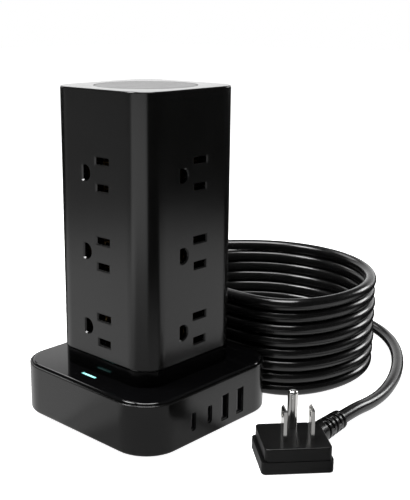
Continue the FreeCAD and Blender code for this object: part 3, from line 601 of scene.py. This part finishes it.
@dataclass
class PowerSpring:
    """Helical spring under the power button. The real one shortens as the button goes down; this one is built
    at one length on the tower.
    """

    radius: float = 0.0070
    wire: float = 0.00045
    low: float = 0.1540
    high: float = 0.1639
    turns: float = 4.0
    wire_sides: int = 16
    travel: float = 0.0025

    def tree(self) -> bpy.types.NodeTree:
        """Round wire swept along a level helix.

        Returns:
            The geometry tree.
        """
        graph = geometry_tree("helical_spring", {
            "Radius": 0.007, "Wire Radius": 0.0005, "Height": 0.009, "Turns": 4.0, "Steps": 48})
        given = graph.add("NodeGroupInput").outputs
        helix = graph.add("GeometryNodeCurveSpiral", {
            "Resolution": given["Steps"], "Rotations": given["Turns"], "Start Radius": given["Radius"],
            "End Radius": given["Radius"], "Height": given["Height"]}).outputs[0]
        section = graph.add("GeometryNodeCurvePrimitiveCircle", {
            "Resolution": self.wire_sides, "Radius": given["Wire Radius"]}).outputs[0]
        wire = graph.add("GeometryNodeCurveToMesh", {"Curve": helix, "Profile Curve": section,
                                                     "Fill Caps": True}).outputs[0]
        smooth = graph.add("GeometryNodeSetShadeSmooth", {"Geometry": wire}).outputs[0]
        finish_tree(graph, smooth, given["Material"])
        return graph.tree

    def build(self) -> bpy.types.Object:
        """Grow the spring on the tower in place of the imported one.

        Returns:
            The finished spring.
        """
        room = self.high - self.low
        piece = grown(self.tree(), "button_spring_coil", {
            "Radius": self.radius, "Wire Radius": self.wire, "Height": room - 2 * self.wire,
            "Turns": self.turns, "Material": Look.SPRING_STEEL.material()})
        for vertex in piece.data.vertices:
            vertex.co.z += self.low + self.wire
        piece.data.update()
        settle(piece, Body.TOWER)
        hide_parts("button_spring")
        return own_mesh(piece)


@dataclass
class MainsLead:
    """The mains lead: out of the base, eight turns in a stack, and along the floor to the plug."""

    diameter: float = 0.0068
    length: float = 3.6
    turns: int = 8
    points_per_turn: int = 24
    smoothness: int = 6
    roundness: int = 8
    centre: tuple[float, float] = (0.0985, 0.0055)
    round_radius: float = 0.0655
    corner_radius: float = 0.0292
    corner_centre_x: float = 0.0818
    start_angle: float = math.radians(60)
    ramp_angle: float = math.radians(110)
    turn_offsets: tuple[float, ...] = (0.0002, -0.0002, 0.0003, 0.0001, -0.0001, 0.0003, 0.0, -0.0002)
    out_of_base: tuple[Point, ...] = (
        (0.0270, 0.0683, 0.0125), (0.0270, 0.0876, 0.0123), (0.0357, 0.1046, 0.0114),
        (0.0514, 0.1160, 0.0128), (0.0710, 0.1192, 0.0178), (0.0906, 0.1132, 0.0262),
        (0.1074, 0.1000, 0.0366), (0.1202, 0.0830, 0.0458), (0.1299, 0.0660, 0.0509))
    to_plug: tuple[Point, ...] = (
        (0.1345, 0.0679, 0.0034), (0.1528, 0.0562, 0.0034), (0.1693, 0.0406, 0.0034),
        (0.1810, 0.0210, 0.0034), (0.1860, 0.0000, 0.0034), (0.1845, -0.0185, 0.0034),
        (0.1765, -0.0345, 0.0034), (0.1640, -0.0490, 0.0034), (0.1485, -0.0615, 0.0034),
        (0.1305, -0.0720, 0.0034), (0.1108, -0.0805, 0.0034), (0.0910, -0.0860, 0.0034),
        (0.0736, -0.0883, 0.0044), (0.0587, -0.08904, 0.0063), (0.0437, -0.08994, 0.0063))

    def tangent_angle(self) -> float:
        """Angle at which the coil's round part gives way to its two tighter corners."""
        across = self.corner_centre_x - self.centre[0]
        return math.acos(across / (self.round_radius - self.corner_radius))

    def stretches(self) -> list[float]:
        """Lengths of one turn's five stretches, clockwise from the start angle."""
        tangent = self.tangent_angle()
        corner = self.corner_radius * (math.pi - tangent)
        rise = (self.round_radius - self.corner_radius) * math.sin(tangent)
        first = self.round_radius * (self.start_angle + tangent)
        last = self.round_radius * (tangent - self.start_angle)
        return [first, corner, 2 * rise, corner, last]

    def outline(self, along: float, outwards: float) -> tuple[float, float]:
        """Point of one turn seen from above.

        Args:
            along: Distance travelled clockwise from the start angle.
            outwards: How far outside the middle of the winding the point lies.

        Returns:
            x and y of the point.
        """
        tangent = self.tangent_angle()
        first, corner, flat, _, _ = self.stretches()
        rise = flat / 2
        middle_x, middle_y = self.centre
        if along < first or along > first + 2 * corner + flat:
            centre, radius = (middle_x, middle_y), self.round_radius
            if along < first:
                angle = self.start_angle - along / radius
            else:
                angle = tangent - (along - first - 2 * corner - flat) / radius
        elif along < first + corner:
            centre, radius = (self.corner_centre_x, middle_y - rise), self.corner_radius
            angle = -tangent - (along - first) / radius
        elif along < first + corner + flat:
            up = along - first - corner - rise
            return self.corner_centre_x - self.corner_radius - outwards, middle_y + up
        else:
            centre, radius = (self.corner_centre_x, middle_y + rise), self.corner_radius
            angle = math.pi - (along - first - corner - flat) / radius
        reach = radius + outwards
        return centre[0] + reach * math.cos(angle), centre[1] + reach * math.sin(angle)

    def winding(self) -> list[Point]:
        """Points of the stacked turns, from the top one down to the floor.

        Each turn runs level and drops by one diameter at the back. The last one moves outwards
        before the turn above it comes down.
        """
        stretches = self.stretches()
        around = sum(stretches)
        ramp = self.round_radius * (self.ramp_angle - self.start_angle)
        first, corner, flat = stretches[:3]
        second_corner = first + corner + flat
        points = []
        for turn in range(self.turns):
            level = self.diameter * (self.turns - turn - 0.5)
            last = turn == self.turns - 1
            for step in range(self.points_per_turn):
                along = around * step / self.points_per_turn
                outwards = self.turn_offsets[turn]
                height = level
                if last:
                    way_out = (along - second_corner) / (around - ramp - second_corner)
                    outwards += self.diameter * ease(way_out)
                else:
                    height -= self.diameter * ease((along - around + ramp) / ramp)
                x, y = self.outline(along, outwards)
                points.append((x, y, height))
        return points[1:]

    def build(self) -> bpy.types.Object:
        """Draw the whole lead as one open spline.

        Returns:
            The lead's curve.
        """
        route = list(self.out_of_base) + self.winding() + list(self.to_plug)
        data = bpy.data.curves.new("mains_lead", "CURVE")
        data.dimensions = "3D"
        spline = data.splines.new("NURBS")
        spline.points.add(len(route) - 1)
        for spot, point in zip(route, spline.points):
            point.co = (*spot, 1.0)
        spline.order_u = 3
        spline.use_endpoint_u = True
        spline.resolution_u = self.smoothness
        spline.use_smooth = True
        data.bevel_depth = self.diameter / 2
        data.bevel_resolution = self.roundness
        data.use_fill_caps = True
        data.materials.append(Look.CORD_JACKET.material())
        lead = linked_object("mains_lead", data)
        settle(lead, Body.TOWER)
        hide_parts("cord_lead", "cord_coil", "cord_tail")
        return lead


def ease(value: float) -> float:
    """Smooth step from 0 to 1."""
    held = min(1.0, max(0.0, value))
    return held * held * (3 - 2 * held)


@dataclass
class ContactPads:
    """Gilded pads on the tongues of the USB ports."""

    name: str
    centre: Point
    count: int
    pitch: float
    size: tuple[float, float]
    thickness: float = 0.00012
    corner: float = 0.35
    weld: float = 0.000001
    look: Look = Look.CONTACT_GOLD

    def tree(self) -> bpy.types.NodeTree:
        """Row of round-cornered pads along Z, facing +X.

        Returns:
            The geometry tree.
        """
        graph = geometry_tree("contact_pad_row", {
            "Count": 4, "Pitch": 0.002, "Pad Length": 0.006, "Pad Width": 0.001, "Thickness": 0.0001,
            "Centre": (0, 0, 0)})
        given = graph.add("NodeGroupInput").outputs
        outline = graph.add("GeometryNodeCurvePrimitiveQuadrilateral", {
            "Width": given["Pad Length"], "Height": given["Pad Width"]}).outputs[0]
        corner = graph.math("MULTIPLY", given["Pad Width"], self.corner)
        rounded = graph.add("GeometryNodeFilletCurve", {"Curve": outline, "Radius": corner, "Count": 3},
                            mode="POLY").outputs[0]
        flat = graph.add("GeometryNodeFillCurve", {"Curve": rounded}, mode="NGONS").outputs[0]
        raised = graph.add("GeometryNodeExtrudeMesh", {"Mesh": flat, "Offset Scale": given["Thickness"],
                                                       "Individual": False}).outputs[0]
        under = graph.add("GeometryNodeFlipFaces", {"Mesh": flat}).outputs[0]
        joined = graph.add("GeometryNodeJoinGeometry")
        graph.tree.links.new(raised, joined.inputs[0])
        graph.tree.links.new(under, joined.inputs[0])
        pad = graph.add("GeometryNodeMergeByDistance", {"Geometry": joined.outputs[0],
                                                        "Distance": self.weld}).outputs[0]
        stood = graph.add("GeometryNodeTransform", {"Geometry": pad,
                                                    "Rotation": (math.pi / 2, 0, math.pi / 2)}).outputs[0]
        gap = graph.add("ShaderNodeCombineXYZ", {2: given["Pitch"]}).outputs[0]
        half = graph.math("MULTIPLY", graph.math("SUBTRACT", given["Count"], 1.0), -0.5)
        below = graph.math("MULTIPLY", half, given["Pitch"])
        lowest = graph.add("ShaderNodeCombineXYZ", {2: below}).outputs[0]
        first = graph.add("ShaderNodeVectorMath", {0: given["Centre"], 1: lowest}, operation="ADD").outputs[0]
        row = graph.add("GeometryNodeMeshLine", {"Count": given["Count"], "Start Location": first,
                                                 "Offset": gap}).outputs[0]
        pads = graph.add("GeometryNodeInstanceOnPoints", {"Points": row, "Instance": stood}).outputs[0]
        finish_tree(graph, pads, given["Material"])
        return graph.tree

    def build(self) -> bpy.types.Object:
        """Grow the row of pads.

        Returns:
            The finished row.
        """
        tree = bpy.data.node_groups.get("contact_pad_row") or self.tree()
        piece = grown(tree, self.name, {
            "Count": self.count, "Pitch": self.pitch, "Pad Length": self.size[0],
            "Pad Width": self.size[1], "Thickness": self.thickness, "Centre": self.centre,
            "Material": self.look.material()})
        return settle(piece, Body.TOWER)


Finishes = tuple[tuple[Look, tuple[str, ...]], ...]


@dataclass
class SubAssembly:
    """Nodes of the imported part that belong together, by the finish that they get."""

    finishes: Finishes = ()

    def dress(self) -> None:
        """Give the nodes their finishes."""
        for look, names in self.finishes:
            for name in names:
                dress_node(name, look)


@dataclass
class Housing(SubAssembly):
    """Tower, collar, base and plate, with their screws and feet."""

    finishes: Finishes = (
        (Look.SATIN_BLACK, ("tower_shell", "base_shell")),
        (Look.GLOSS_BLACK, ("top_plate",)),
        (Look.COLLAR_BLACK, ("tower_collar",)),
        (Look.INNER_BLACK, ("bottom_cover", "button_guide")),
        (Look.SCREW_STEEL, ("base_screws", "tower_screws")),
        (Look.FEET_RUBBER, ("rubber_feet",)))


@dataclass
class Controls(SubAssembly):
    """The power button with its switch, the reset button and the light."""

    finishes: Finishes = (
        (Look.BUTTON_BLACK, ("power_button", "reset_button")),
        (Look.INNER_BLACK, ("power_switch", "overload_breaker")),
        (Look.INSULATOR_WHITE, ("switch_plunger", "indicator_led")),
        (Look.LIGHT_CYAN, ("light_pipe",)))


@dataclass
class Wiring(SubAssembly):
    """Socket frames, bus bars, wires and boards inside the housing."""

    faces: tuple[str, ...] = ("front", "right", "back", "left")
    bars: tuple[str, ...] = ("hot", "neutral", "ground")
    finishes: Finishes = (
        (Look.WIRE_BLACK, ("hot_feed_wire", "hot_wires")),
        (Look.WIRE_WHITE, ("neutral_wires",)),
        (Look.WIRE_GREEN, ("ground_wires",)),
        (Look.BOARD_GREEN, ("surge_board", "usb_board")),
        (Look.VARISTOR_BLUE, ("varistors",)),
        (Look.FUSE_BEIGE, ("thermal_fuse",)),
        (Look.FERRITE_GREEN, ("noise_choke",)),
        (Look.WINDING_YELLOW, ("usb_transformer",)),
        (Look.CAN_ALUMINIUM, ("usb_capacitor",)))

    def dress(self) -> None:
        """Give the frames and bars of every face their finishes, and then the rest."""
        for face in self.faces:
            dress_node("socket_frame_" + face, Look.INNER_BLACK)
            for bar in self.bars:
                dress_node(f"{bar}_bar_{face}", Look.CONTACT_BRASS)
        super().dress()


@dataclass
class UsbPorts(SubAssembly):
    """The four USB ports with the pads on their tongues."""

    height: float = 0.0119
    front: float = -0.0477
    c_ports: tuple[float, ...] = (-0.0169, -0.0053)
    c_tongue: tuple[float, float] = (0.00035, 0.0042)
    c_pads: int = 12
    c_pitch: float = 0.0005
    c_pad_size: tuple[float, float] = (0.0044, 0.00028)
    a_ports: tuple[float, ...] = (0.0060, 0.0175)
    a_tongue: tuple[float, float] = (-0.0003, 0.0055)
    a_pads: int = 4
    a_pitch: float = 0.0023
    a_pad_size: tuple[float, float] = (0.0075, 0.0011)
    finishes: Finishes = (
        (Look.PORT_STEEL, ("usb_c_port_1", "usb_a_port_1", "usb_c_port_2", "usb_a_port_2")),
        (Look.TONGUE_GREY, ("usb_tongues",)))

    def build(self) -> None:
        """Lay the pads on the tongues."""
        for number, x in enumerate(self.c_ports, 1):
            aside, inwards = self.c_tongue
            centre = (x + aside, self.front + inwards, self.height)
            ContactPads(f"usb_c_pads_{number}", centre, self.c_pads, self.c_pitch, self.c_pad_size).build()
        for number, x in enumerate(self.a_ports, 1):
            aside, inwards = self.a_tongue
            centre = (x + aside, self.front + inwards, self.height)
            ContactPads(f"usb_a_pads_{number}", centre, self.a_pads, self.a_pitch, self.a_pad_size).build()


@dataclass
class Plug(SubAssembly):
    """The flat angled plug."""

    finishes: Finishes = (
        (Look.PLUG_BLACK, ("plug_body", "plug_face")),
        (Look.PIN_NICKEL, ("plug_blades", "plug_ground_pin")))


@dataclass(frozen=True)
class Sector:
    """Soft-edged sector of a disc or a ring on the card, around the origin.

    Angles are in degrees. The glow starts between inner_start and inner_end, and it ends between
    outer_start and outer_end.
    """

    azimuth: float
    half_width: float
    softness: float
    strength: float
    outer_start: float = 3.0
    outer_end: float = 4.0
    inner_start: float = -1.0
    inner_end: float = -0.9

    def glow(self, graph: Graph, towards: bpy.types.NodeSocket,
             away: bpy.types.NodeSocket) -> bpy.types.NodeSocket:
        """Brightness of this sector.

        Args:
            graph: Tree of the card's material.
            towards: Direction from the origin.
            away: Distance from the origin.

        Returns:
            The brightness socket.
        """
        turn = math.radians(self.azimuth)
        middle = (math.cos(turn), math.sin(turn), 0.0)
        dot = graph.add("ShaderNodeVectorMath", {0: towards, 1: middle}, operation="DOT_PRODUCT")
        across = dot.outputs["Value"]
        outer = math.cos(math.radians(self.half_width + self.softness))
        inner = math.cos(math.radians(self.half_width - self.softness))
        window = graph.ramp(across, outer, inner, 0.0, self.strength, smooth=True)
        begins = graph.ramp(away, self.inner_start, self.inner_end, 0.0, 1.0, smooth=True)
        ends = graph.ramp(away, self.outer_start, self.outer_end, 1.0, 0.0, smooth=True)
        return graph.math("MULTIPLY", graph.math("MULTIPLY", window, begins), ends)


@dataclass(frozen=True)
class SoftBox:
    """One soft rectangular light: where it hangs, the point that it faces, its size and its watts."""

    name: str
    place: Point
    aim: Point
    size: tuple[float, float]
    power: float

    def hang(self) -> None:
        """Hang the light."""
        data = bpy.data.lights.new(self.name, "AREA")
        data.shape = "RECTANGLE"
        data.size, data.size_y = self.size
        data.energy = self.power
        light = linked_object(self.name, data)
        light.location = self.place
        facing = Vector(self.aim) - Vector(self.place)
        light.rotation_euler = facing.to_track_quat("-Z", "Y").to_euler()


@dataclass
class Studio:
    """Pale floor, soft light and the camera."""

    eye: Point = (-0.3120, -0.3149, 0.2007)
    tilt: float = 13.659
    pan: float = 45.937
    lens: float = 65.33
    sensor: float = 36.0
    clip: tuple[float, float] = (0.01, 50.0)
    shift: tuple[float, float] = (0.0801, -0.0341)
    reach: float = 4.0
    floor_height: float = -0.0001
    floor_grey: float = 0.8
    floor_glow: float = 1.0
    card_height: float = 0.0005
    card_glow: float = 0.02
    behind: tuple[float, float] = (0.72, 0.694)
    room_sides: tuple[float, float] = (0.42, 0.70)
    low_band: tuple[float, float, float, float] = (0.06, 0.18, 0.6, 0.0)
    wide_band: tuple[float, float, float, float] = (0.34, 0.44, 0.88, 0.0)
    room_glow: float = 0.07
    sectors: tuple[Sector, ...] = (
        Sector(140, 40, 10, 0.68, outer_start=0.26, outer_end=0.60),
        Sector(136, 27, 4, 0.27),
        Sector(303, 24, 6, 0.80, outer_start=0.30, outer_end=0.62),
        Sector(197, 33, 5, 1.15, inner_start=0.10, inner_end=0.50),
        Sector(226, 45, 12, 0.36, outer_start=0.14, outer_end=0.35))
    boxes: tuple[SoftBox, ...] = (
        SoftBox("top_box", (-0.05, -0.05, 0.95), (0.05, 0.03, 0), (0.5, 0.5), 9.0),
        SoftBox("left_box", (-0.32, 0.26, 0.66), (0.1, 0.0, 0.03), (0.28, 0.28), 4.5),
        SoftBox("side_box", (0.85, -0.28, 0.33), (0.12, 0.0, 0.02), (0.24, 0.24), 1.7),
        SoftBox("back_box", (0.35, 0.8, 0.7), (0.1, 0.0, 0), (0.5, 0.3), 1.5))

    def camera(self) -> None:
        """Stand the camera."""
        data = bpy.data.cameras.new("camera")
        data.lens = self.lens
        data.sensor_width = self.sensor
        data.sensor_fit = "AUTO"
        data.shift_x, data.shift_y = self.shift
        data.clip_start, data.clip_end = self.clip
        camera = linked_object("camera", data)
        camera.location = self.eye
        camera.rotation_euler = (math.radians(90 - self.tilt), 0, math.radians(-self.pan))
        bpy.context.scene.camera = camera

    def square(self, height: float) -> list[Point]:
        """Corners of the level square that reaches as far as the studio does."""
        reach = self.reach
        return [(x * reach, y * reach, height) for x, y in ((-1, -1), (1, -1), (1, 1), (-1, 1))]

    def surface(self, name: str, corners: list[Point], faces: list[tuple[int, ...]],
                material: bpy.types.Material, seen_by: str | None = None) -> bpy.types.Object:
        """Make one surface of the studio, which lights nothing through light sampling.

        Args:
            name: Name of the surface.
            corners: Corners of its faces.
            faces: Corner numbers of each face.
            material: Material of all its faces.
            seen_by: The only kind of ray that sees it, or None for every kind.

        Returns:
            The surface.
        """
        material.cycles.emission_sampling = "NONE"
        mesh = bpy.data.meshes.new(name)
        mesh.from_pydata(corners, [], faces)
        mesh.materials.append(material)
        made = linked_object(name, mesh)
        if seen_by is not None:
            for ray in STUDIO_RAYS:
                setattr(made, "visible_" + ray, ray == seen_by)
        return made

    def floor(self) -> None:
        """Lay the pale floor."""
        material, graph = new_material("pale_floor")
        shader = graph.add("ShaderNodeBsdfPrincipled", {"Roughness": 0.9, "Specular IOR Level": 0.1})
        shader.inputs["Base Color"].default_value = (*[self.floor_grey] * 3, 1)
        shader.inputs["Emission Color"].default_value = (1, 1, 1, 1)
        shader.inputs["Emission Strength"].default_value = self.floor_glow
        graph.add("ShaderNodeOutputMaterial", {"Surface": shader.outputs[0]})
        floor = self.surface("floor", self.square(self.floor_height), [(0, 1, 2, 3)], material)

    def backdrop(self) -> None:
        """Stand pale walls and a ceiling far around the floor, which only the camera sees."""
        material, graph = new_material("backdrop")
        shader = graph.add("ShaderNodeEmission", {"Strength": 1.0})
        graph.add("ShaderNodeOutputMaterial", {"Surface": shader.outputs[0]})
        corners = self.square(0) + self.square(self.reach)
        walls = [(side, side + 4, (side + 1) % 4 + 4, (side + 1) % 4) for side in range(4)]
        backdrop = self.surface("backdrop", corners, walls + [(7, 6, 5, 4)], material, seen_by="camera")

    def card(self) -> None:
        """Lay a card on the floor that only reflections see, bright in its sectors."""
        material, graph = new_material("card")
        where = graph.add("ShaderNodeTexCoord").outputs["Object"]
        away = graph.add("ShaderNodeVectorMath", {0: where}, operation="LENGTH").outputs["Value"]
        towards = graph.add("ShaderNodeVectorMath", {0: where}, operation="NORMALIZE").outputs[0]
        total = self.card_glow
        for sector in self.sectors:
            total = graph.math("ADD", total, sector.glow(graph, towards, away))
        shader = graph.add("ShaderNodeEmission", {"Strength": total})
        graph.add("ShaderNodeOutputMaterial", {"Surface": shader.outputs[0]})
        card = self.surface("card", self.square(self.card_height), [(0, 1, 2, 3)], material, seen_by="glossy")

    def room(self) -> None:
        """Soft room light, bright only low down and behind the part."""
        world = bpy.data.worlds.new("room")
        world.use_nodes = True
        graph = Graph(world.node_tree)
        where = graph.add("ShaderNodeTexCoord").outputs["Generated"]
        x, y, up = graph.add("ShaderNodeSeparateXYZ", {0: where}).outputs[:3]
        along_x, along_y = (graph.math("MULTIPLY", part, share) for part, share in zip((x, y), self.behind))
        window = graph.ramp(graph.math("ADD", along_x, along_y), *self.room_sides, 0.0, 1.0, smooth=True)
        low = graph.ramp(up, *self.low_band, smooth=True)
        wide = graph.ramp(up, *self.wide_band, smooth=True)
        glow = graph.math("MULTIPLY", graph.math("ADD", low, wide), window)
        strength = graph.math("ADD", glow, self.room_glow)
        shader = graph.add("ShaderNodeBackground", {"Strength": strength})
        shader.inputs["Color"].default_value = (1, 1, 1, 1)
        graph.add("ShaderNodeOutputWorld", {"Surface": shader.outputs[0]})
        bpy.context.scene.world = world

    def lights(self) -> None:
        """Soft boxes overhead, and the card that shapes the reflections."""
        self.room()
        for box in self.boxes:
            box.hang()
        self.card()

    def build(self) -> None:
        """Set up the whole studio."""
        self.camera()
        self.floor()
        self.backdrop()
        self.lights()
        bpy.context.scene.view_settings.view_transform = "Standard"


def main() -> None:
    """Build the studio, the lead and every sub-assembly in order."""
    Studio().build()
    lead = MainsLead()
    cord = lead.build()
    gland = StrainRelief("cord_gland", (0.0270, 0.0484, 0.0125), math.pi / 2, length=0.0199, radius=0.0066,
                         tip_radius=0.0046, slots=5, collar=0.0028)
    sleeve = StrainRelief("plug", (0.0197, -0.0914, 0.0063), math.radians(3.45), length=0.024,
                          radius=0.0055, tip_radius=0.0048, slots=5, collar=0.005)
    gland_piece = gland.build()
    sleeve_piece = sleeve.build()
    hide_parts("cord_gland")
    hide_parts("plug_strain_relief")
    Housing().dress()
    Controls().dress()
    PowerSpring().build()
    Wiring().dress()
    ports = UsbPorts()
    ports.dress()
    ports.build()
    Plug().dress()


if __name__ == "__main__":
    main()
